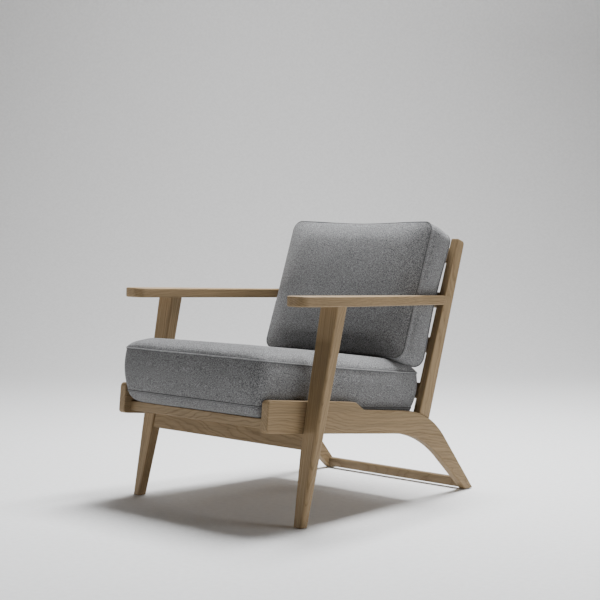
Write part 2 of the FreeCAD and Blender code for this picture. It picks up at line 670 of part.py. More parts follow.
def ledger_screws():
    """Screws through each ledger into its side rail."""
    screws = []
    for y in LEDGER_SCREW_YS:
        middle_z = (SEAT_PLANE_Z + SEAT_SLOPE * y
                    - SEAT_SLAT_THICKNESS - LEDGER_HEIGHT / 2)
        base = V(HALF_INNER_FRONT - LEDGER_WIDTH, y, middle_z)
        screws.append(toe_in(screw(base, V(1, 0, 0), LEDGER_WIDTH + LEDGER_SCREW_BITE)))
    return screws


def slat_screws():
    """Screws through the ends of each seat slat into the ledgers."""
    down = V(0, 0, -1)
    screws = []
    for index in range(SEAT_SLAT_COUNT):
        middle = SEAT_SLAT_FIRST + index * SEAT_SLAT_PITCH + SLAT_SCREW_OFFSET
        base = V(HALF_INNER_FRONT - LEDGER_WIDTH / 2, middle, SEAT_PLANE_Z)
        upright = screw(base, down, SEAT_SLAT_THICKNESS + SLAT_SCREW_BITE)
        screws.append(toe_in(lean(upright, (0.0, SEAT_PLANE_Z), SEAT_PITCH_DEG)))
    return screws


def foot_centres():
    """The middles of the right-hand front and rear feet, before toe-in."""
    front_x = HALF_OUTER_FRONT + (LEG_FOOT_INSET + LEG_FOOT_OUTSET) / 2
    front_y = (LEG_FOOT_FRONT_Y + LEG_FOOT_BACK_Y) / 2
    rear_x = HALF_INNER_FRONT + BOARD_THICKNESS / 2
    rear_y = REAR_FOOT_Y - REAR_FOOT_LENGTH / 2 - GLIDE_SETBACK
    return [(front_x, front_y), (rear_x, rear_y)]


def foot_glides():
    """A nail-on glide under each foot."""
    glides = []
    for x, y in foot_centres():
        disc = cylinder(GLIDE_RADIUS, GLIDE_HEIGHT, V(x, y, 0), V(0, 0, 1))
        nail = cylinder(GLIDE_NAIL_RADIUS, GLIDE_NAIL_LENGTH, V(x, y, GLIDE_HEIGHT), V(0, 0, 1))
        glides.append(toe_in(disc.fuse(nail).removeSplitter()))
    return glides


# ---- assembly ----------------------------------------------------------------------------
def build():
    """Every sub-part, by its node's name."""
    parts = {}
    bolts, inserts, glides = leg_bolts(), leg_inserts(False), foot_glides()
    dowels, cleat_screws, top_screws = arm_dowels(), ledger_screws(), slat_screws()

    back_slats = [back_slat(index) for index in range(SLAT_COUNT)]
    front_rail, front_tenon = front_seat_rail()
    rear_rail, rear_tenon = rear_seat_rail()
    apron, apron_tenon = front_apron()
    stretcher, stretcher_tenon = rear_foot_stretcher()
    tenon_space = between_planes(HALF_INNER_FRONT + TENON_DEPTH)
    leg_tenon_space = between_planes(HALF_OUTER_FRONT + TENON_DEPTH)

    rail_tenons = [t.common(tenon_space) for t in (front_tenon, rear_tenon, stretcher_tenon)]
    slat_tenons = [tenon.common(tenon_space) for _, tenon in back_slats]
    stub = toe_in(post_tenon())
    rail_solid = toe_in(side_rail_block())

    rail = cut_all(toe_in(side_rail()), rail_tenons + bolt_holes() + cleat_screws + glides + [stub])
    leg = cut_all(toe_in(front_leg()), bolt_holes() + leg_inserts(True) + dowels[:2] + glides
                  + [apron_tenon.common(leg_tenon_space), above_arm_underside()])
    post = cut_all(toe_in(back_post_block()), [rail_solid] + slat_tenons + dowels[2:])
    post = max(post.Solids, key=lambda solid: solid.BoundBox.ZMax)
    post = post.fuse(stub.common(rail_solid)).removeSplitter()
    arm = cut_all(armrest(), dowels)
    ledger = cut_all(toe_in(seat_ledger()), cleat_screws + top_screws)

    pairs = {"side_rail": rail, "front_leg": leg, "back_post": post, "armrest": arm,
             "seat_ledger": ledger}
    for name, shape in pairs.items():
        parts["right_" + name] = shape
        parts["left_" + name] = mirrored(shape)

    for index, (slat, _) in enumerate(back_slats):
        parts["back_slat_%d" % (SLAT_COUNT - index)] = slat
    top_screw_pair = both_sides(Part.makeCompound(top_screws))
    for index in range(SEAT_SLAT_COUNT):
        parts["seat_slat_%d" % (index + 1)] = seat_slat(index).cut(top_screw_pair)
    parts["front_seat_rail"] = front_rail
    parts["rear_seat_rail"] = rear_rail
    parts["front_apron"] = apron
    parts["rear_foot_stretcher"] = stretcher

    groups = {"leg_bolts": bolts, "leg_inserts": inserts, "arm_dowels": dowels,
              "ledger_screws": cleat_screws, "seat_slat_screws": top_screws,
              "foot_glides": glides}
    for name, solids in groups.items():
        parts[name] = both_sides(Part.makeCompound(solids))

    for name, space in (("seat", seat_cushion), ("back", back_cushion)):
        core = space(COVER_THICKNESS)
        zipper = zip_strip(ZIP_HEIGHTS[name])
        parts[name + "_cushion_core"] = core
        parts[name + "_cushion_cover"] = space().cut(core).cut(zipper)
        parts[name + "_cushion_zip"] = zipper
    return parts


def main():
    os.makedirs("parts", exist_ok=True)
    for name, shape in sorted(build().items()):
        solids = shape.Solids
        sound = shape.isValid() and all(solid.Volume > 0 for solid in solids)
        print("%-22s solids %2d  volume %10.0f  %s" % (name, len(solids), shape.Volume,
                                                       "ok" if sound else "CHECK"))
        shape.exportStep("parts/%s.step" % name)


main()
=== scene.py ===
"""The look of the wooden armchair: oak with a solid grain, and two box cushions in woven wool.

Metres. +Z is up and the sitter faces -Y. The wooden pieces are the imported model's own nodes. The
cushions, their piping and their zips are made here and ride on the cushions' bodies.
"""

import math

import bpy
import numpy as np
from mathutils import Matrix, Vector
from mathutils.bvhtree import BVHTree


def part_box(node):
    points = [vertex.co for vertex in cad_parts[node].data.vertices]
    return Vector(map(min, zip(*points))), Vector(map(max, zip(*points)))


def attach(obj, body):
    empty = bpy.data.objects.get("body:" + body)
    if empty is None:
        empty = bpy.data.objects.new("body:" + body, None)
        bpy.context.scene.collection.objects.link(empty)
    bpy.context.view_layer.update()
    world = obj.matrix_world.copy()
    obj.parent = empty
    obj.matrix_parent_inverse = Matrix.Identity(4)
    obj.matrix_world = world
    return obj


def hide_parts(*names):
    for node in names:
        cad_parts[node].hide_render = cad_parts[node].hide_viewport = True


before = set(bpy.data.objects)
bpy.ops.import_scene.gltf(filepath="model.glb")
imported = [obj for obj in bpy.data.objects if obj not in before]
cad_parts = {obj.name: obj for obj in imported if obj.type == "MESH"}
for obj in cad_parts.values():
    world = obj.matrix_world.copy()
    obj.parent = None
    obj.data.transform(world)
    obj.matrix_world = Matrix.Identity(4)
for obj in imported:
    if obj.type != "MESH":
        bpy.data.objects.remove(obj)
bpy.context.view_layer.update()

# ---- camera and studio -------------------------------------------------------------------
CAMERA_TARGET = (0.0106, -0.0144, 0.579)
CAMERA_DISTANCE = 4.4
CAMERA_AZIMUTH = math.radians(45.0)
CAMERA_PITCH = math.radians(3.2)
CAMERA_LENS_MM = 90.0
CAMERA_SENSOR_MM = 36.0
CAMERA_REACH = 60.0                       # how far it sees
FLOOR_FRONT = 40.0
SWEEP_START = 3.2
SWEEP_RADIUS = 2.5
SWEEP_STEPS = 24
SWEEP_HEIGHT = 7.0
SWEEP_HALF_WIDTH = 40.0
AIR_COLOUR = (1.0, 0.86, 0.74, 1.0)
AIR_STRENGTH = 0.06
LAMPS = {                                 # place, target, size, watts, colour
    "overhead": ((-0.15, 0.82, 3.3), (0.0, 0.0, 0.3), (1.15, 1.5), 305.0, (0.97, 0.985, 1.0)),
    "right_side": ((3.1, 1.3, 1.2), (0.0, 0.0, 0.4), (1.4, 1.4), 38.0, (1.0, 1.0, 1.0)),
    "front_low": ((-2.2, -2.7, 0.09), (0.0, 0.0, 0.1), (2.4, 0.16), 23.0, (1.0, 1.0, 1.0)),
    "backdrop_wash": ((-2.6, 2.6, 3.6), (-3.0, 3.0, 0.6), (3.0, 2.0), 66.0, (1.0, 1.0, 1.0)),
}

# ---- the chair's own planes, as the CAD model has them -------------------------------------
SEAT_SLOPE = -math.tan(math.radians(5.91))
SUPPORT_Z = 0.2486                        # tops of the seat slats, at Y = 0
SUPPORT_GAP = 0.0012                      # a gap is what a cushion's cover keeps from the wood
RAIL_INNER = 0.2843                       # centre plane to a side rail, at its front end
RAIL_TOE_IN = math.radians(1.077)
RAIL_STEP_Y = -0.060                      # where the rail's top edge steps down
RAIL_TOP_FRONT = 0.3008                   # heights of the two top edges, at Y = 0
RAIL_TOP_REAR = 0.2786
RAIL_GAP = 0.0008
RAIL_SPILL = 0.9                          # how far the cushion widens per metre above the rail
ARM_REAR = (0.2800, 0.330)                # an armrest's inner edge at its rear end, X and Y
ARM_FLARE = 0.0314                        # how far that edge moves outward per metre forward
ARM_MIDDLE = 0.020                        # above the armrest's lowest point
ARM_HALF_HEIGHT = 0.022
ARM_GAP = 0.0015
ARM_SPILL = 0.45                          # how far the cushion widens per metre off the armrest
SLAT_FRONT = 0.0050                       # the back slats' front faces, behind BACK_BASE
SLAT_MARGINS = (0.004, 0.002)             # kept clear below and above the lowest slat
BACK_LEAN = math.radians(19.27)
BACK_BASE = np.array([0.0, 0.1892, 0.2554])
BACK_UP = np.array([0.0, math.sin(BACK_LEAN), math.cos(BACK_LEAN)])
BACK_REARWARD = np.array([0.0, math.cos(BACK_LEAN), -math.sin(BACK_LEAN)])

# ---- seat cushion ----------------------------------------------------------------------------
SEAT_FRONT_Y = -0.4408
SEAT_REAR_Y = 0.223                       # at the height SEAT_REAR_Z
SEAT_REAR_Z = 0.340
SEAT_REAR_LEAN = 0.23
TOP_SEAM = (0.3932, -0.126)               # height at Y = 0, slope
LOW_SEAM = (0.2826, -0.0975)
SEAT_HALF_TOP = (0.2850, 0.2685)          # half widths, front and rear
SEAT_HALF_LOW = (0.2805, 0.2670)
SEAT_CORNER = 0.032
SEAT_CROWN = 0.036
SEAT_SHOULDERS = (0.060, 0.85)            # of the crown: width, and share of its height
SEAT_BASE_SHOULDERS = (0.035, 1.0)
SEAT_BULGE = 0.0095                       # of the boxing
SEAT_FLANK_SAG = 0.003                    # of the top seam, halfway along each side
SEAT_UNEVEN = (0.0011, 0.16, 21)          # amount, size and seed
UNDER_BACK_FROM = 0.08                    # Y from which the back cushion presses the seat down
UNDER_BACK = (0.120, 0.418)               # Y and Z of a point of its underside
UNDER_BACK_SLOPE = 0.33
UNDER_BACK_GAP = 0.003

# ---- back cushion ----------------------------------------------------------------------------
BACK_FRONT_DEPTH = -0.112
BACK_REAR_DEPTH = -0.0165
BACK_HALF_FRONT = 0.2860
BACK_HALF_REAR = 0.2815
BACK_SPAN_FRONT = (0.1310, 0.5460)        # along the lean
BACK_SPAN_REAR = (0.1300, 0.5400)
BACK_CORNER = 0.030
BACK_PULLS_FRONT = (0.0, 0.008, 0.001)    # of the seam's lower edge, upper edge and sides
BACK_PULLS_REAR = (0.0, 0.005, 0.007)
BACK_CROWN_FRONT = 0.036
BACK_CROWN_REAR = 0.0185
BACK_SHOULDERS_FRONT = (0.080, 0.30)
BACK_SHOULDERS_REAR = (0.045, 0.8)
BACK_BULGE = 0.005
BACK_CREASE = 0.0035
CREASE_RINGS = ((1, 0.3), (2, 1.0), (3, 0.35))    # the boxing's ring, and share of the depth
BACK_UNEVEN = (0.0013, 0.18, 34)

# ---- how the cushions are made -----------------------------------------------------------------
PANEL_CELLS = 64
SIDE_CELLS = 72
RIM_COUNT = 2 * (PANEL_CELLS + SIDE_CELLS)
BOXING_RINGS = 14
ARC_POINTS = 9
END_CROWDING = 0.10                       # how much closer a panel's rows are near its seams
DOME_POWER = 0.6
BULGE_POWER = 0.9
OUTWARD_ROUNDS = 4
NOISE_WAVES = 6
PRESSURE = 3.0                            # of the filling
SETTLE_FRAMES = 20
SETTLE_CAP = 0.003
SETTLE_ROUNDS = 30                        # of smoothing, so that a cover settles without wrinkles
PIPING_RADIUS = 0.0028
PIPING_PROUD = 0.35                       # of its radius, outward from the seam
PIPING_SHARES = {"upper": 0.8, "lower": 0.45, "front": 0.55, "rear": 0.55}
# the radius of the thin dark cords of painted shade beside the piping
SEAM_SHADOW_RADIUS = 0.0012

# ---- zips ----------------------------------------------------------------------------------------
# A bar's size is its half width, and its bottom and top above the cover.
ZIP_TEETH = 160
TAPE = (0.011, -0.0008, 0.0009)
TOOTH = (0.0022, 0.0005, 0.0024)
TOOTH_HALF_LENGTH = 0.0009
TOOTH_OFFSET = 0.0009                     # to either side of the zip's line, in turn
SLIDER_STOPS = [3, 4, 7, 8]               # counted in teeth from the zip's left end
SLIDER = (np.array([0.0030, 0.0046, 0.0046, 0.0036]), 0.0002, 0.0044)
PULL_STOP = 5
PULL_LIFT = 0.0040
PULL_DROPS = (0.0, 0.008, 0.021, 0.024)
PULL = (np.array([0.0018, 0.0030, 0.0034, 0.0022]), 0.0, 0.0011)


# ============================ studio ==========================================================
def camera():
    """The view from the chair's front right, just above the level."""
    data = bpy.data.cameras.new("camera")
    data.lens = CAMERA_LENS_MM
    data.sensor_width = CAMERA_SENSOR_MM
    data.clip_end = CAMERA_REACH
    piece = bpy.data.objects.new("camera", data)
    bpy.context.scene.collection.objects.link(piece)
    back = Vector((math.sin(CAMERA_AZIMUTH) * math.cos(CAMERA_PITCH),
                   -math.cos(CAMERA_AZIMUTH) * math.cos(CAMERA_PITCH),
                   math.sin(CAMERA_PITCH)))
    piece.location = Vector(CAMERA_TARGET) + back * CAMERA_DISTANCE
    piece.rotation_euler = back.to_track_quat("Z", "Y").to_euler()
    bpy.context.scene.camera = piece


def sweep():
    """A seamless floor and backdrop, level under the chair and curving up behind it."""
    profile = [(-FLOOR_FRONT, 0.0), (SWEEP_START, 0.0)]
    for step in range(1, SWEEP_STEPS + 1):
        turn = math.pi / 2 * step / SWEEP_STEPS
        profile.append((SWEEP_START + SWEEP_RADIUS * math.sin(turn),
                        SWEEP_RADIUS * (1 - math.cos(turn))))
    profile.append((SWEEP_START + SWEEP_RADIUS, SWEEP_HEIGHT))
    away = Vector((-math.sin(CAMERA_AZIMUTH), math.cos(CAMERA_AZIMUTH), 0))
    across = Vector((math.cos(CAMERA_AZIMUTH), math.sin(CAMERA_AZIMUTH), 0))
    points = []
    for distance, height in profile:
        for side in (-SWEEP_HALF_WIDTH, SWEEP_HALF_WIDTH):
            points.append(away * distance + across * side + Vector((0, 0, height)))
    faces = [(2 * i, 2 * i + 1, 2 * i + 3, 2 * i + 2) for i in range(len(profile) - 1)]
    paper = plain("studio_paper", (0.86, 0.86, 0.86), 0.9)
    mesh_piece("studio_sweep", points, faces, paper)


def area_light(name, place, target, size, power, colour):
    """A rectangular lamp that shines towards its target."""
    data = bpy.data.lights.new(name, "AREA")
    data.shape = "RECTANGLE"
    data.size, data.size_y = size
    data.energy = power
    data.color = colour
    lamp = bpy.data.objects.new(name, data)
    lamp.location = place
    lamp.rotation_euler = (Vector(place) - Vector(target)).to_track_quat("Z", "Y").to_euler()
    bpy.context.scene.collection.objects.link(lamp)


def lights():
    """A faint warm air all round, and the lamps."""
    world = bpy.data.worlds.new("studio_air")
    bpy.context.scene.world = world
    world.use_nodes = True
    background = world.node_tree.nodes["Background"]
    background.inputs["Color"].default_value = AIR_COLOUR
    background.inputs["Strength"].default_value = AIR_STRENGTH
    for name, lamp in LAMPS.items():
        area_light(name, *lamp)


# ============================ mesh helpers ======================================================
def mesh_piece(name, points, faces, material, smooth=True):
    """An object of one mesh and one material."""
    mesh = bpy.data.meshes.new(name)
    mesh.from_pydata([tuple(point) for point in points], [], faces)
    mesh.validate()
    mesh.materials.append(material)
    for polygon in mesh.polygons:
        polygon.use_smooth = smooth
    piece = bpy.data.objects.new(name, mesh)
    bpy.context.scene.collection.objects.link(piece)
    return piece


def spacing(count):
    """count + 1 steps from 0 to 1, closer together near both ends."""
    even = np.linspace(0.0, 1.0, count + 1)
    return even - END_CROWDING * np.sin(2 * math.pi * even)


def resampled(points, count):
    """count + 1 points along a polyline, closer together near its ends."""
    steps = np.linalg.norm(np.diff(points, axis=0), axis=1)
    along = np.concatenate([[0.0], np.cumsum(steps)])
    wanted = along[-1] * spacing(count)
    return np.stack([np.interp(wanted, along, points[:, k]) for k in range(points.shape[1])], 1)


def rounded_sides(half, low, high, radius):
    """The four sides of a rounded rectangle (x, v), each from mid-corner to mid-corner.

    They are returned as front and rear (left to right), then left and right (front to rear).
    """
    def arc(centre, start, end):
        """Points round a corner, from the start angle to the end angle in degrees."""
        turns = np.linspace(math.radians(start), math.radians(end), ARC_POINTS)
        return np.stack([centre[0] + radius * np.cos(turns), centre[1] + radius * np.sin(turns)], 1)

    inner_x, inner_low, inner_high = half - radius, low + radius, high - radius
    low_left, low_right = (-inner_x, inner_low), (inner_x, inner_low)
    high_left, high_right = (-inner_x, inner_high), (inner_x, inner_high)
    front = np.concatenate([arc(low_left, 225, 270), arc(low_right, 270, 315)])
    rear = np.concatenate([arc(high_left, 135, 90), arc(high_right, 90, 45)])
    left = np.concatenate([arc(low_left, 225, 180), arc(high_left, 180, 135)])
    right = np.concatenate([arc(low_right, -45, 0), arc(high_right, 0, 45)])
    return (resampled(front, PANEL_CELLS), resampled(rear, PANEL_CELLS),
            resampled(left, SIDE_CELLS), resampled(right, SIDE_CELLS))


def pulled_in(sides, pull):
    """The sides drawn in between their corners; pull gives (front, rear, left and right)."""
    front, rear, left, right = [side.copy() for side in sides]
    width_wave = np.sin(math.pi * spacing(PANEL_CELLS)) ** 2
    depth_wave = np.sin(math.pi * spacing(SIDE_CELLS)) ** 2
    front[:, 1] += pull[0] * width_wave
    rear[:, 1] -= pull[1] * width_wave
    left[:, 0] += pull[2] * depth_wave
    right[:, 0] -= pull[2] * depth_wave
    return front, rear, left, right


def coons_grid(sides):
    """A grid (s, t) of points filling four sides, with s left to right and t front to rear."""
    front, rear, left, right = sides
    s = spacing(PANEL_CELLS)[:, None, None]
    t = spacing(SIDE_CELLS)[None, :, None]
    ruled_t = (1 - t) * front[:, None] + t * rear[:, None]
    ruled_s = (1 - s) * left[None, :] + s * right[None, :]
    corners = ((1 - s) * (1 - t) * front[0] + s * (1 - t) * front[-1]
               + (1 - s) * t * rear[0] + s * t * rear[-1])
    return ruled_t + ruled_s - corners


def crown(width, depth, shoulder, share):
    """A panel's height, 0 at its seams and 1 in the middle.

    It is a share of round shoulders, each as wide as shoulder, and the rest is a broad dome.
    """
    def rounded(distance):
        """The shoulder's height at a distance from the seam."""
        return np.sqrt(1 - (1 - np.minimum(distance / shoulder, 1.0)) ** 2)

    s = spacing(PANEL_CELLS)[:, None]
    t = spacing(SIDE_CELLS)[None, :]
    shoulders = rounded(np.minimum(s, 1 - s) * width) * rounded(np.minimum(t, 1 - t) * depth)
    dome = (4 * s * (1 - s)) ** DOME_POWER * (4 * t * (1 - t)) ** DOME_POWER
    return share * shoulders + (1 - share) * dome


def rim_indices():
    """Grid indices (s, t) once round a panel: front, right, rear, left."""
    rim = [(i, 0) for i in range(PANEL_CELLS)]
    rim += [(PANEL_CELLS, j) for j in range(SIDE_CELLS)]
    rim += [(i, SIDE_CELLS) for i in range(PANEL_CELLS, 0, -1)]
    rim += [(0, j) for j in range(SIDE_CELLS, 0, -1)]
    return rim


def panel_vertex(panel, i, j):
    """The number of vertex (i, j) of a panel, 0 for the upper one and 1 for the lower."""
    return (panel * (PANEL_CELLS + 1) + i) * (SIDE_CELLS + 1) + j


def boxing_ring(ring):
    """The vertices of one of the boxing's rings between the two seams, as a slice."""
    first = panel_vertex(2, 0, 0) + (ring - 1) * RIM_COUNT
    return slice(first, first + RIM_COUNT)


def box_cushion(name, upper, lower, bulge, material):
    """A closed cushion: an upper and a lower panel grid, joined by a boxing that bulges outward.

    Returns the object, for each of its two seams the indices of its vertices, and the boxing's
    outward direction at each of those.
    """
    rim = rim_indices()
    seams = [[panel_vertex(panel, i, j) for i, j in rim] for panel in (0, 1)]
    points = [upper.reshape(-1, 3), lower.reshape(-1, 3)]
    top = np.array([upper[i, j] for i, j in rim])
    bottom = np.array([lower[i, j] for i, j in rim])
    middle = (top + bottom) / 2
    tangent = np.roll(middle, -1, 0) - np.roll(middle, 1, 0)
    outward = np.cross(tangent, top - bottom)
    outward /= np.linalg.norm(outward, axis=1)[:, None]
    for _ in range(OUTWARD_ROUNDS):
        outward = (np.roll(outward, 1, 0) + outward + np.roll(outward, -1, 0)) / 3
    for ring in range(1, BOXING_RINGS):
        share = ring / BOXING_RINGS
        swell = bulge * math.sin(math.pi * share) ** BULGE_POWER
        points.append(top * (1 - share) + bottom * share + outward * swell)

    faces = []
    for i in range(PANEL_CELLS):
        for j in range(SIDE_CELLS):
            cell = ((i, j), (i + 1, j), (i + 1, j + 1), (i, j + 1))
            faces.append(tuple(panel_vertex(0, *corner) for corner in cell))
            faces.append(tuple(panel_vertex(1, *cell[k]) for k in (0, 3, 2, 1)))
    between = [boxing_ring(ring) for ring in range(1, BOXING_RINGS)]
    rings = [seams[0]] + [range(ring.start, ring.stop) for ring in between] + [seams[1]]
    for ring, following in zip(rings, rings[1:]):
        for k in range(RIM_COUNT):
            after = (k + 1) % RIM_COUNT
            faces.append((ring[k], following[k], following[after], ring[after]))
    piece = mesh_piece(name, np.concatenate(points), faces, material)
    return piece, seams, outward


def vertex_vectors(mesh, kind):
    """Each vertex's position (co) or normal, as rows."""
    flat = np.zeros(len(mesh.vertices) * 3)
    mesh.vertices.foreach_get(kind, flat)
    return flat.reshape(-1, 3)


def vertex_positions(piece):
    """The positions of a mesh object's vertices, as rows."""
    return vertex_vectors(piece.data, "co")


def place_vertices(piece, positions):
    """Moves a mesh object's vertices to the positions."""
    piece.data.vertices.foreach_set("co", positions.ravel())
    piece.data.update()


def seam_vertices(seams):
    """The vertices of both seams, as one list."""
    return [int(vertex) for seam in seams for vertex in seam]


def swelled(piece, seams):
    """Lets the cover settle as cloth under the filling's pressure, with its seams held."""
    start = vertex_positions(piece)
    held = piece.vertex_groups.new(name="seams")
    held.add(seam_vertices(seams), 1.0, "REPLACE")
    cloth = piece.modifiers.new("cloth", "CLOTH")
    settings = cloth.settings
    settings.quality = 5
    settings.mass = 0.25
    settings.tension_stiffness = 12.0
    settings.compression_stiffness = 12.0
    settings.shear_stiffness = 6.0
    settings.bending_stiffness = 1.5
    settings.vertex_group_mass = "seams"
    settings.use_pressure = True
    settings.uniform_pressure_force = PRESSURE
    settings.effector_weights.gravity = 0.0
    cloth.collision_settings.use_collision = False
    cloth.point_cache.frame_start = 1
    cloth.point_cache.frame_end = SETTLE_FRAMES
    scene = bpy.context.scene
    for number in range(1, SETTLE_FRAMES + 1):
        scene.frame_set(number)
    graph = bpy.context.evaluated_depsgraph_get()
    settled = vertex_positions(piece.evaluated_get(graph))
    piece.modifiers.remove(cloth)
    piece.vertex_groups.remove(held)
    scene.frame_set(1)
    shift = evened(piece, settled - start, seam_vertices(seams))
    length = np.linalg.norm(shift, axis=1)[:, None]
    place_vertices(piece, start + shift * np.minimum(1.0, SETTLE_CAP / np.maximum(length, 1e-9)))


def evened(piece, field, held):
    """A vector for each vertex, averaged with its neighbours' and zero where held."""
    ends = np.zeros(2 * len(piece.data.edges), dtype=np.int32)
    piece.data.edges.foreach_get("vertices", ends)
    first, second = ends.reshape(-1, 2).T
    neighbours = np.bincount(ends, minlength=len(field))[:, None]
    for _ in range(SETTLE_ROUNDS):
        total = np.zeros_like(field)
        np.add.at(total, first, field[second])
        np.add.at(total, second, field[first])
        field = (field + total / neighbours) / 2
        field[held] = 0.0
    return field


def finish_cushion(piece, seams):
    """Keeps the seams crisp and smooths the rest with one level of subdivision."""
    seam_edges = set()
    for seam in seams:
        for k in range(len(seam)):
            seam_edges.add(frozenset((seam[k], seam[(k + 1) % len(seam)])))
    crease = piece.data.attributes.new("crease_edge", "FLOAT", "EDGE")
    for edge in piece.data.edges:
        if frozenset(edge.vertices) in seam_edges:
            crease.data[edge.index].value = 1.0
    smooth = piece.modifiers.new("subdivision", "SUBSURF")
    smooth.levels = 1
    smooth.render_levels = 1


def tube(name, points, radius, material, closed=True):
    """A round cord through points."""
    curve = bpy.data.curves.new(name, "CURVE")
    curve.dimensions = "3D"
    curve.bevel_depth = radius
    curve.bevel_resolution = 3
    curve.materials.append(material)
    spline = curve.splines.new("POLY")
    spline.points.add(len(points) - 1)
    for spot, point in zip(spline.points, points):
        spot.co = (*point, 1.0)
    spline.use_cyclic_u = closed
    spline.use_smooth = True
    piece = bpy.data.objects.new(name, curve)
    bpy.context.scene.collection.objects.link(piece)
    return piece


def gentle_noise(points, size, seed):
    """Smooth unevenness for each point, from -1 to 1, the same on each run."""
    generator = np.random.default_rng(seed)
    total = np.zeros(len(points))
    for _ in range(NOISE_WAVES):
        direction = generator.normal(size=3)
        direction /= np.linalg.norm(direction)
        phase = generator.uniform(0, 2 * math.pi)
        wavelength = size * generator.uniform(0.7, 1.5)
        total += np.sin(points @ direction * 2 * math.pi / wavelength + phase)
    return total / NOISE_WAVES


# ============================ materials =========================================================
class Shader:
    """One material's node tree."""

    def __init__(self, name):
        self.material = bpy.data.materials.new(name)
        self.material.use_nodes = True
        self.tree = self.material.node_tree
        self.tree.nodes.clear()
        self.surface = self.add("ShaderNodeBsdfPrincipled")
        output = self.add("ShaderNodeOutputMaterial")
        self.tree.links.new(self.surface.outputs["BSDF"], output.inputs["Surface"])
        self.place = self.add("ShaderNodeTexCoord").outputs["Object"]

    def add(self, kind, inputs=None, **settings):
        """A new node, with its settings and its inputs set or joined."""
        node = self.tree.nodes.new(kind)
        for key, value in settings.items():
            setattr(node, key, value)
        for key, value in (inputs or {}).items():
            self.join(value, node.inputs[key])
        return node

    def join(self, value, socket):
        """Links a socket to the input, or gives the input a constant."""
        if isinstance(value, bpy.types.NodeSocket):
            self.tree.links.new(value, socket)
        else:
            socket.default_value = value

    def math(self, operation, first, second=0.0):
        """A number from one or two others."""
        return self.add("ShaderNodeMath", {0: first, 1: second}, operation=operation).outputs[0]

    def dot(self, vector, direction):
        """How far a vector reaches in a direction."""
        inputs = {0: vector, 1: direction}
        return self.add("ShaderNodeVectorMath", inputs, operation="DOT_PRODUCT").outputs["Value"]

    def vector(self, x, y, z):
        """A vector from its three numbers."""
        return self.add("ShaderNodeCombineXYZ", {0: x, 1: y, 2: z}).outputs[0]

    def noise(self, vector, scale, detail=2.0, roughness=0.5):
        """Noise from 0 to 1; scale is in features per metre."""
        inputs = {"Vector": vector, "Scale": scale, "Detail": detail, "Roughness": roughness}
        return self.add("ShaderNodeTexNoise", inputs).outputs["Fac"]

    def ramp(self, factor, stops):
        """stops is a list of (position, colour or grey value)."""
        node = self.add("ShaderNodeValToRGB", {"Fac": factor})
        elements = node.color_ramp.elements
        while len(elements) < len(stops):
            elements.new(1.0)
        for element, (position, colour) in zip(elements, stops):
            element.position = position
            if isinstance(colour, float):
                colour = (colour,) * 3
            element.color = (*colour, 1.0)
        return node.outputs["Color"]

    def mix(self, factor, first, second, blend="MIX"):
        """One colour over another, blended."""
        node = self.add("ShaderNodeMix", data_type="RGBA", blend_type=blend)
        self.join(factor, node.inputs["Factor"])
        self.join(first, node.inputs["A"])
        self.join(second, node.inputs["B"])
        return node.outputs["Result"]

    def span(self, value, low, high, to_low=0.0, to_high=1.0):
        """A value mapped from low..high to to_low..to_high, and clamped."""
        inputs = {"Value": value, "From Min": low, "From Max": high,
                  "To Min": to_low, "To Max": to_high}
        return self.add("ShaderNodeMapRange", inputs).outputs["Result"]

    def bump(self, height, distance, strength):
        """The surface's normal, tilted by a relief."""
        inputs = {"Height": height, "Distance": distance, "Strength": strength}
        return self.add("ShaderNodeBump", inputs).outputs["Normal"]

    def set(self, **inputs):
        """Sets the surface's own inputs and returns the material."""
        for key, value in inputs.items():
            if isinstance(value, tuple):
                value = (*value, 1.0)
            self.join(value, self.surface.inputs[key.replace("_", " ")])
        return self.material


def plain(name, colour, roughness, metallic=0.0):
    """A quiet surface with a faint unevenness in tone and gloss."""
    shader = Shader(name)
    speckle = shader.noise(shader.place, 60.0, 3.0)
    dark = tuple(channel * 0.94 for channel in colour)
    tone = shader.ramp(speckle, [(0.35, dark), (0.65, colour)])
    gloss = shader.span(speckle, 0.3, 0.7, roughness - 0.05, roughness + 0.05)
    return shader.set(Base_Color=tone, Roughness=gloss, Metallic=metallic)


OAK_PITH_OUT = (0.055, 0.085)             # from the piece's middle to the pith, lowest and highest
OAK_PITH_SIDE = (-0.03, 0.03)
OAK_PITH_TILT = (0.04, 0.09)
OAK_START = (0.0, 8.0)                    # along the log
OAK_RING_WIDTH = 0.0050
OAK_TONES = {
    "pore": (0.150, 0.093, 0.043),
    "dark": (0.176, 0.114, 0.054),
    "middle": (0.256, 0.177, 0.092),
    "light": (0.294, 0.208, 0.113),
}


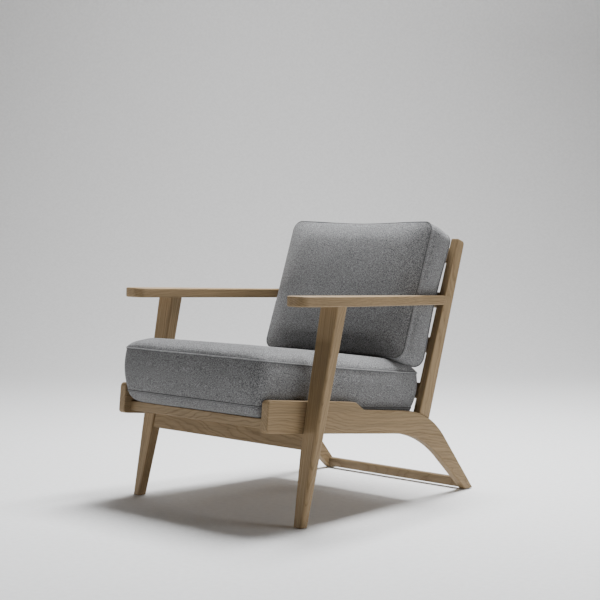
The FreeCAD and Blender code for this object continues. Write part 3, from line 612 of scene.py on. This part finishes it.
def oak(name, along, face, seed, tone=1.0):
    """Oak sawn from a log: growth rings about a pith that runs nearly along the piece.

    along is the piece's length, and face the normal of its broadest side.
    """
    along, face = Vector(along).normalized(), Vector(face).normalized()
    across = along.cross(face).normalized()
    generator = np.random.default_rng(seed)
    pith_out = float(generator.uniform(*OAK_PITH_OUT))
    pith_side = float(generator.uniform(*OAK_PITH_SIDE))
    tilt = float(generator.uniform(*OAK_PITH_TILT) * generator.choice([-1, 1]))
    start = float(generator.uniform(*OAK_START))
    shader = Shader(name)
    length = shader.math("ADD", shader.dot(shader.place, along), start)
    width = shader.dot(shader.place, across)
    depth = shader.dot(shader.place, face)
    grain = shader.vector(length, width, depth)

    def stretched(by_length, by_width):
        """The place along the grain, scaled along it and across it."""
        scale = {0: grain, 1: (by_length, by_width, by_width)}
        return shader.add("ShaderNodeVectorMath", scale, operation="MULTIPLY").outputs[0]

    sway = shader.noise(stretched(2.4, 7.0), 1.0, 3.0, 0.5)
    ripple = shader.noise(stretched(22.0, 70.0), 1.0, 2.0, 0.5)
    wander = shader.math("ADD", shader.math("MULTIPLY", sway, 0.045),
                         shader.math("MULTIPLY", ripple, 0.005))
    drift = shader.math("MULTIPLY", shader.math("SUBTRACT", length, start), tilt)
    side = shader.math("ADD", width, pith_side)
    out = shader.math("ADD", shader.math("ADD", depth, pith_out), drift)
    squares = shader.math("ADD", shader.math("POWER", side, 2.0), shader.math("POWER", out, 2.0))
    radius = shader.math("ADD", shader.math("SQRT", squares), wander)
    years = shader.math("DIVIDE", radius, OAK_RING_WIDTH)
    climate = shader.noise(shader.vector(years, seed * 1.7, 0.0), 0.45, 2.0, 0.6)
    ring = shader.math("FRACT", shader.math("ADD", years, shader.math("MULTIPLY", climate, 3.0)))
    season = shader.ramp(ring, [(0.0, OAK_TONES["dark"]), (0.22, OAK_TONES["middle"]),
                                (0.60, OAK_TONES["light"]), (0.93, OAK_TONES["middle"]),
                                (1.0, OAK_TONES["dark"])])
    strength = shader.span(climate, 0.35, 0.65, 0.45, 1.0)
    season = shader.mix(strength, (*OAK_TONES["middle"], 1.0), season)
    streaks = shader.noise(stretched(4.0, 190.0), 1.0, 3.0, 0.55)
    streak_tone = shader.ramp(streaks, [(0.30, 0.86), (0.70, 1.10)])
    fibres = shader.noise(stretched(12.0, 620.0), 1.0, 4.0, 0.6)
    fibre_tone = shader.ramp(fibres, [(0.30, 0.88), (0.70, 1.09)])
    body = shader.mix(1.0, shader.mix(1.0, season, streak_tone, "MULTIPLY"), fibre_tone, "MULTIPLY")
    pores = shader.noise(stretched(70.0, 1500.0), 1.0, 2.0, 0.4)
    pore_mask = shader.span(pores, 0.60, 0.70)
    early = shader.span(ring, 0.45, 0.0, 0.20, 1.0)
    pore_share = shader.math("MULTIPLY", pore_mask, early)
    dotted = shader.mix(shader.math("MULTIPLY", pore_share, 0.70), body, (*OAK_TONES["pore"], 1.0))
    patches = shader.noise(stretched(1.3, 6.0), 1.0, 2.0, 0.5)
    patch_tone = shader.ramp(patches, [(0.3, 0.90 * tone), (0.7, 1.08 * tone)])
    colour = shader.mix(1.0, dotted, patch_tone, "MULTIPLY")
    gloss = shader.span(fibres, 0.3, 0.7, 0.66, 0.54)
    relief = shader.math("SUBTRACT", shader.math("MULTIPLY", fibres, 0.35), pore_share)
    normal = shader.bump(relief, 0.00025, 0.6)
    return shader.set(Base_Color=colour, Roughness=gloss, Normal=normal, Specular_IOR_Level=0.28)


WEAVE_PITCH = 0.0026


def woven(name, dark, light, bump=0.0007):
    """A heathered plain weave that follows each face, whichever way the face looks."""
    shader = Shader(name)
    axes = shader.add("ShaderNodeSeparateXYZ", {0: shader.place}).outputs
    face_normal = shader.add("ShaderNodeNewGeometry").outputs["Normal"]
    normal_axes = shader.add("ShaderNodeSeparateXYZ", {0: face_normal}).outputs
    wobble = shader.math("MULTIPLY", shader.noise(shader.place, 90.0, 2.0), 2.2)
    waves = []
    for axis in range(3):
        turn = shader.math("MULTIPLY", axes[axis], 2 * math.pi / WEAVE_PITCH)
        waves.append(shader.math("SINE", shader.math("ADD", turn, wobble)))
    total = None
    for axis in range(3):
        facing = shader.math("POWER", shader.math("ABSOLUTE", normal_axes[axis]), 4.0)
        first, second = [waves[k] for k in range(3) if k != axis]
        share = shader.math("MULTIPLY", shader.math("MULTIPLY", first, second), facing)
        total = share if total is None else shader.math("ADD", total, share)
    yarn = shader.noise(shader.place, 640.0, 2.0, 0.6)
    heather = shader.noise(shader.place, 380.0, 2.0, 0.6)
    cloud = shader.noise(shader.place, 9.0, 2.0, 0.5)
    mixed = shader.math("ADD", shader.math("MULTIPLY", heather, 0.70),
                        shader.math("MULTIPLY", yarn, 0.30))
    middle = tuple(0.55 * low + 0.45 * high for low, high in zip(dark, light))
    tone = shader.ramp(mixed, [(0.39, dark), (0.50, middle), (0.61, light)])
    soft = shader.ramp(cloud, [(0.3, 0.95), (0.7, 1.05)])
    toned = shader.mix(1.0, tone, soft, "MULTIPLY")
    # painted shade: the weave's low places are darkened as if shaded by the yarns over them
    weave_dip_shade = shader.ramp(total, [(0.0, 0.84), (1.0, 1.08)])
    colour = shader.mix(1.0, toned, weave_dip_shade, "MULTIPLY")
    height = shader.math("ADD", shader.math("MULTIPLY", total, 0.5),
                         shader.math("MULTIPLY", mixed, 1.6))
    normal = shader.bump(height, bump, 0.8)
    return shader.set(Base_Color=colour, Roughness=0.95, Normal=normal, Sheen_Weight=0.20,
                      Sheen_Roughness=0.5, Specular_IOR_Level=0.15)


def steel(name, shade):
    """Brushed metal of an even grey."""
    shader = Shader(name)
    brushed = shader.noise(shader.place, 700.0, 3.0)
    gloss = shader.span(brushed, 0.3, 0.7, 0.28, 0.42)
    return shader.set(Base_Color=(shade, shade, 1.02 * shade), Metallic=1.0, Roughness=gloss)


# ============================ wood ==============================================================
CROSS_TONE = 0.97
STRETCHER_SHADE_TONE = 0.62                     # painted shade: the rear foot stretcher's oak is darkened for the shade it sits in near the floor


def wooden_pieces():
    """Gives each wooden node its own oak, with the grain along the piece."""
    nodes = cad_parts
    lean = tuple(BACK_UP)
    slope = (0.0, 1.0, SEAT_SLOPE)
    for side, sign, first_seed in (("right", 1.0, 3), ("left", -1.0, 7)):
        grains = {                        # grain, normal of the broadest side, tone
            "side_rail": ((0.0, 1.0, -0.06), (sign, 0.0, 0.0), 1.0),
            "front_leg": ((0.0, 0.213, 1.0), (0.0, 1.0, -0.213), 1.10),
            "back_post": (lean, (sign, 0.0, 0.0), 1.0),
            # painted light: the left armrest's oak is made paler than the right one's, for the
            # light that falls on it
            "armrest": ((-0.05 * sign, 1.0, -0.037), (0.0, 0.0, 1.0), 1.06 - 0.06 * sign),
            "seat_ledger": (slope, (sign, 0.0, 0.0), 1.0),
        }
        for order, (name, (along, face, tone)) in enumerate(grains.items()):
            node = side + "_" + name
            dress(nodes[node], oak("oak_" + node, along, face, 11 * order + first_seed, tone))
    back_face, seat_face = tuple(-BACK_REARWARD), (0.0, -SEAT_SLOPE, 1.0)
    level = (1.0, 0.0, 0.0)
    # the pieces that run across the chair, with the normal of their broadest side
    cross = {"front_seat_rail": (0.0, -1.0, 0.0), "rear_seat_rail": (0.0, -1.0, 0.0),
             "front_apron": (0.0, -1.0, 0.2), "rear_foot_stretcher": (0.0, -1.0, 0.0)}
    for index in range(1, 5):
        cross["back_slat_%d" % index] = back_face
    for index in range(1, 7):
        cross["seat_slat_%d" % index] = seat_face
    for order, (node, face) in enumerate(cross.items()):
        # painted shade: the rear foot stretcher gets its darkened tone here
        tone = STRETCHER_SHADE_TONE if node == "rear_foot_stretcher" else CROSS_TONE
        dress(nodes[node], oak("oak_" + node, level, face, 101 + 13 * order, tone))
    dress(nodes["arm_dowels"], oak("oak_arm_dowels", (0, 0, 1), (1, 0, 0), 5, 1.15))


def dress(piece, material):
    """Gives a node one material all over."""
    piece.data.materials.clear()
    piece.data.materials.append(material)


def hardware():
    """Zinc-plated screws, bolts and inserts, and plastic glides under the feet."""
    metal = steel("zinc_plate", 0.55)
    for node in ("leg_bolts", "leg_inserts", "ledger_screws", "seat_slat_screws"):
        dress(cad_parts[node], metal)
    dress(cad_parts["foot_glides"], plain("glide_plastic", (0.035, 0.030, 0.026), 0.55))


# ============================ cushions ==========================================================
def seat_sides(seam, halves):
    """The four sides of one of the seat cushion's seams, in the row frame."""
    height, slope = seam
    rear = SEAT_REAR_Y + SEAT_REAR_LEAN * (height + slope * SEAT_REAR_Y - SEAT_REAR_Z)
    placed = []
    for side in rounded_sides(halves[0], SEAT_FRONT_Y, rear, SEAT_CORNER):
        share = (side[:, 1] - SEAT_FRONT_Y) / (rear - SEAT_FRONT_Y)
        x = side[:, 0] * (1 + share * (halves[1] / halves[0] - 1))
        placed.append(np.stack([x, side[:, 1], height + slope * side[:, 1]], 1))
    return placed


def seat_cushion(fabrics):
    """The seat's cushion: crowned above, flat on the seat slats, and pressed down by the back's."""
    top = coons_grid(seat_sides(TOP_SEAM, SEAT_HALF_TOP))
    low = coons_grid(seat_sides(LOW_SEAM, SEAT_HALF_LOW))
    across = 2 * spacing(PANEL_CELLS)[:, None] - 1
    along = spacing(SIDE_CELLS)[None, :]
    top[:, :, 2] -= SEAT_FLANK_SAG * across ** 4 * np.sin(math.pi * along)
    width, depth = 2 * SEAT_HALF_TOP[0], SEAT_REAR_Y - SEAT_FRONT_Y
    upper = top.copy()
    upper[:, :, 2] += SEAT_CROWN * crown(width, depth, *SEAT_SHOULDERS)
    y, z = upper[:, :, 1], upper[:, :, 2]
    under_back = UNDER_BACK[1] - UNDER_BACK_SLOPE * (y - UNDER_BACK[0]) - UNDER_BACK_GAP
    upper[:, :, 2] = np.where(y > UNDER_BACK_FROM, np.minimum(z, under_back), z)
    resting = SUPPORT_Z + SUPPORT_GAP + SEAT_SLOPE * low[:, :, 1]
    lower = low.copy()
    lower[:, :, 2] += (resting - low[:, :, 2]) * crown(width, depth, *SEAT_BASE_SHOULDERS)
    piece, seams, outward = box_cushion("seat_cushion", upper, lower, SEAT_BULGE, fabrics["cloth"])
    swelled(piece, seams)
    uneven(piece, seams, *SEAT_UNEVEN)
    finish_cushion(piece, seams)
    clear_of_frame(piece)
    clad(piece, "seat_cushion")
    sew(piece, seams, outward, "seat_cushion", ("upper", "lower"), fabrics)
    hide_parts("seat_cushion_cover", "seat_cushion_core")
    zip_along(piece, "seat_cushion", fabrics)


def back_sides(span, half, depth, pull):
    """The four sides of one of the back cushion's seams, in the row frame."""
    placed = []
    for side in pulled_in(rounded_sides(half, span[0], span[1], BACK_CORNER), pull):
        placed.append(BACK_BASE + side[:, :1] * np.array([[1.0, 0, 0]])
                      + side[:, 1:2] * BACK_UP + depth * BACK_REARWARD)
    return placed


def back_cushion(fabrics):
    """The backrest's cushion: crowned in front and behind, and creased beside its front seam."""
    front = coons_grid(back_sides(BACK_SPAN_FRONT, BACK_HALF_FRONT, BACK_FRONT_DEPTH,
                                  BACK_PULLS_FRONT))
    rear = coons_grid(back_sides(BACK_SPAN_REAR, BACK_HALF_REAR, BACK_REAR_DEPTH, BACK_PULLS_REAR))
    width, height = 2 * BACK_HALF_FRONT, BACK_SPAN_FRONT[1] - BACK_SPAN_FRONT[0]
    front_crown = crown(width, height, *BACK_SHOULDERS_FRONT)[:, :, None]
    rear_crown = crown(width, height, *BACK_SHOULDERS_REAR)[:, :, None]
    front = front - front_crown * BACK_CROWN_FRONT * BACK_REARWARD
    rear = rear + rear_crown * BACK_CROWN_REAR * BACK_REARWARD
    piece, seams, outward = box_cushion("back_cushion", front, rear, BACK_BULGE, fabrics["cloth"])
    crease(piece, outward)
    swelled(piece, seams)
    uneven(piece, seams, *BACK_UNEVEN)
    beside_arms(piece)
    finish_cushion(piece, seams)
    clad(piece, "back_cushion")
    sew(piece, seams, outward, "back_cushion", ("front", "rear"), fabrics)
    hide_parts("back_cushion_cover", "back_cushion_core")
    zip_along(piece, "back_cushion", fabrics)


def crease(piece, outward):
    """Presses a soft crease into the boxing of the back cushion's flanks, beside the front seam."""
    positions = vertex_positions(piece)
    flank = np.clip((np.abs(outward[:, 0]) - 0.5) * 2, 0.0, 1.0)
    for ring, depth in CREASE_RINGS:
        positions[boxing_ring(ring)] -= outward * (flank * depth * BACK_CREASE)[:, None]
    place_vertices(piece, positions)


def uneven(piece, seams, amount, size, seed):
    """Breaks the panels' perfect smoothness a little, and leaves the seams where they are."""
    positions = vertex_positions(piece)
    normals = vertex_vectors(piece.data, "normal")
    shift = gentle_noise(positions, size, seed) * amount
    shift[seam_vertices(seams)] = 0.0
    place_vertices(piece, positions + normals * shift[:, None])


def beside_arms(piece):
    """Presses the back cushion's flanks in where the armrests stand beside them."""
    low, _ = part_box("right_armrest")
    positions = vertex_positions(piece)
    inner = ARM_REAR[0] + ARM_FLARE * (ARM_REAR[1] - positions[:, 1])
    off_middle = np.abs(positions[:, 2] - (low.z + ARM_MIDDLE))
    room = inner - ARM_GAP + ARM_SPILL * np.maximum(0.0, off_middle - ARM_HALF_HEIGHT)
    positions[:, 0] = np.clip(positions[:, 0], -room, room)
    place_vertices(piece, positions)


def clear_of_frame(piece):
    """Keeps the seat cushion clear of the lowest back slat, and of the side rails' inner faces."""
    positions = vertex_positions(piece)
    low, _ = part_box("right_side_rail")
    inner = RAIL_INNER - math.tan(RAIL_TOE_IN) * (positions[:, 1] - low.y)
    rail_top = np.where(positions[:, 1] < RAIL_STEP_Y, RAIL_TOP_FRONT, RAIL_TOP_REAR)
    above = np.maximum(0.0, positions[:, 2] - rail_top - SEAT_SLOPE * positions[:, 1])
    room = inner - RAIL_GAP + RAIL_SPILL * above
    positions[:, 0] = np.clip(positions[:, 0], -room, room)
    low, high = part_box("back_slat_4")
    y, z = positions[:, 1], positions[:, 2]
    room = BACK_BASE[1] + SLAT_FRONT + math.tan(BACK_LEAN) * (z - BACK_BASE[2])
    beside = (z > low.z - SLAT_MARGINS[0]) & (z < high.z + SLAT_MARGINS[1])
    positions[:, 1] = np.where(beside, np.minimum(y, room), y)
    place_vertices(piece, positions)


def clad(piece, body):
    """Ties a cushion's cover to its body."""
    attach(piece, body)


def sew(piece, seams, outward, body, labels, fabrics):
    """Sets both seams' piping, and thin dark cords of painted shade in the hollows on each one's
    two sides.
    """
    positions = vertex_positions(piece)
    for panel, (seam, label) in enumerate(zip(seams, labels)):
        here = positions[seam]
        radius = PIPING_SHARES[label] * PIPING_RADIUS
        nearest = {
            "boxing": boxing_ring(BOXING_RINGS - 1 if panel else 1),
            "panel": [panel_vertex(panel, min(max(i, 1), PANEL_CELLS - 1),
                                   min(max(j, 1), SIDE_CELLS - 1)) for i, j in rim_indices()],
        }
        cords = {"piping": (here + outward * PIPING_PROUD * radius, radius, fabrics["cord"])}
        for side, neighbours in nearest.items():
            # thin dark cords of painted shade, laid in the hollows on both sides of the piping
            toward = positions[neighbours] - here
            toward /= np.linalg.norm(toward, axis=1)[:, None]
            spot = (here + toward * (radius + 0.5 * SEAM_SHADOW_RADIUS)
                    + outward * 0.2 * SEAM_SHADOW_RADIUS)
            cords["groove_" + side] = (spot, SEAM_SHADOW_RADIUS, fabrics["groove_shadow"])
        for kind, (points, thickness, material) in cords.items():
            cord = tube("%s_%s_%s" % (body, label, kind), points, thickness, material)
            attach(cord, body)


# ============================ zips ==============================================================
def bar(centres, ups, outs, half_width, bottom, top):
    """A closed bar along the centres, as (points, faces); half_width may differ at each centre."""
    widths = np.broadcast_to(half_width, (len(centres),))
    points, faces = [], []
    for centre, up, out, width in zip(centres, ups, outs, widths):
        for side, height in ((-1, bottom), (1, bottom), (1, top), (-1, top)):
            points.append(centre + up * width * side + out * height)
    for k in range(0, 4 * (len(centres) - 1), 4):
        for corner in range(4):
            following = (corner + 1) % 4
            faces.append((k + corner, k + following, k + following + 4, k + corner + 4))
    last = len(points) - 4
    faces.append((3, 2, 1, 0))
    faces.append((last, last + 1, last + 2, last + 3))
    return points, faces


def merged(parts):
    """Several (points, faces) as one."""
    points, faces = [], []
    for part_points, part_faces in parts:
        first = len(points)
        points.extend(part_points)
        faces.extend(tuple(first + v for v in face) for face in part_faces)
    return points, faces


def zip_along(cushion, body, fabrics):
    """A zip across the cushion's rear, on the cover: tape, two rows of teeth, slider and pull."""
    node = body + "_zip"
    low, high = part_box(node)
    height = (low.z + high.z) / 2
    faces = [tuple(polygon.vertices) for polygon in cushion.data.polygons]
    tree = BVHTree.FromPolygons([tuple(point) for point in vertex_positions(cushion)], faces)
    centres, outs, ups = [], [], []
    for x in np.linspace(low.x, high.x, ZIP_TEETH + 1):
        spot, normal, _, _ = tree.ray_cast(Vector((x, 1.0, height)), Vector((0, -1, 0)))
        centres.append(np.array(spot))
        out = np.array([0.0, normal.y, normal.z])
        outs.append(out / np.linalg.norm(out))
        ups.append(np.array([0.0, -outs[-1][2], outs[-1][1]]))
    pieces = {"tape": (bar(centres, ups, outs, *TAPE), fabrics["tape"])}
    teeth = []
    for k in range(ZIP_TEETH):
        side = 1 if k % 2 else -1
        middle = (centres[k] + centres[k + 1]) / 2 + ups[k] * TOOTH_OFFSET * side
        ends = [middle + np.array([end * TOOTH_HALF_LENGTH, 0, 0]) for end in (-1, 1)]
        teeth.append(bar(ends, [ups[k]] * 2, [outs[k]] * 2, *TOOTH))
    pieces["teeth"] = (merged(teeth), fabrics["teeth"])
    body_bar = bar(*([along[k] for k in SLIDER_STOPS] for along in (centres, ups, outs)), *SLIDER)
    centre, up, out = (along[PULL_STOP] for along in (centres, ups, outs))
    hang = [centre + out * PULL_LIFT - up * drop for drop in PULL_DROPS]
    pull = bar(hang, [np.array([1.0, 0, 0])] * len(hang), [out] * len(hang), *PULL)
    pieces["slider"] = (merged([body_bar, pull]), fabrics["slider"])
    for label, ((points, faces), material) in pieces.items():
        piece = mesh_piece("%s_%s" % (node, label), points, faces, material, smooth=False)
        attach(piece, body)
        if label == "tape":
            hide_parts(node)


def main():
    """Lights the studio, dresses the wood and the metal, and makes the cushions."""
    camera()
    sweep()
    lights()
    wooden_pieces()
    hardware()
    fabrics = {
        "cloth": woven("grey_wool", (0.060, 0.060, 0.061), (0.325, 0.326, 0.329)),
        "cord": woven("grey_piping", (0.150, 0.150, 0.152), (0.330, 0.331, 0.334), 0.0003),
        # a dark material for the cords of painted shade beside the piping
        "groove_shadow": plain("seam_shadow", (0.075, 0.075, 0.076), 0.95),
        "tape": woven("zip_tape", (0.020, 0.020, 0.021), (0.080, 0.080, 0.083), 0.0003),
        "teeth": plain("zip_teeth", (0.040, 0.040, 0.042), 0.35),
        "slider": steel("zip_slider", 0.20),
    }
    seat_cushion(fabrics)
    back_cushion(fabrics)


main()
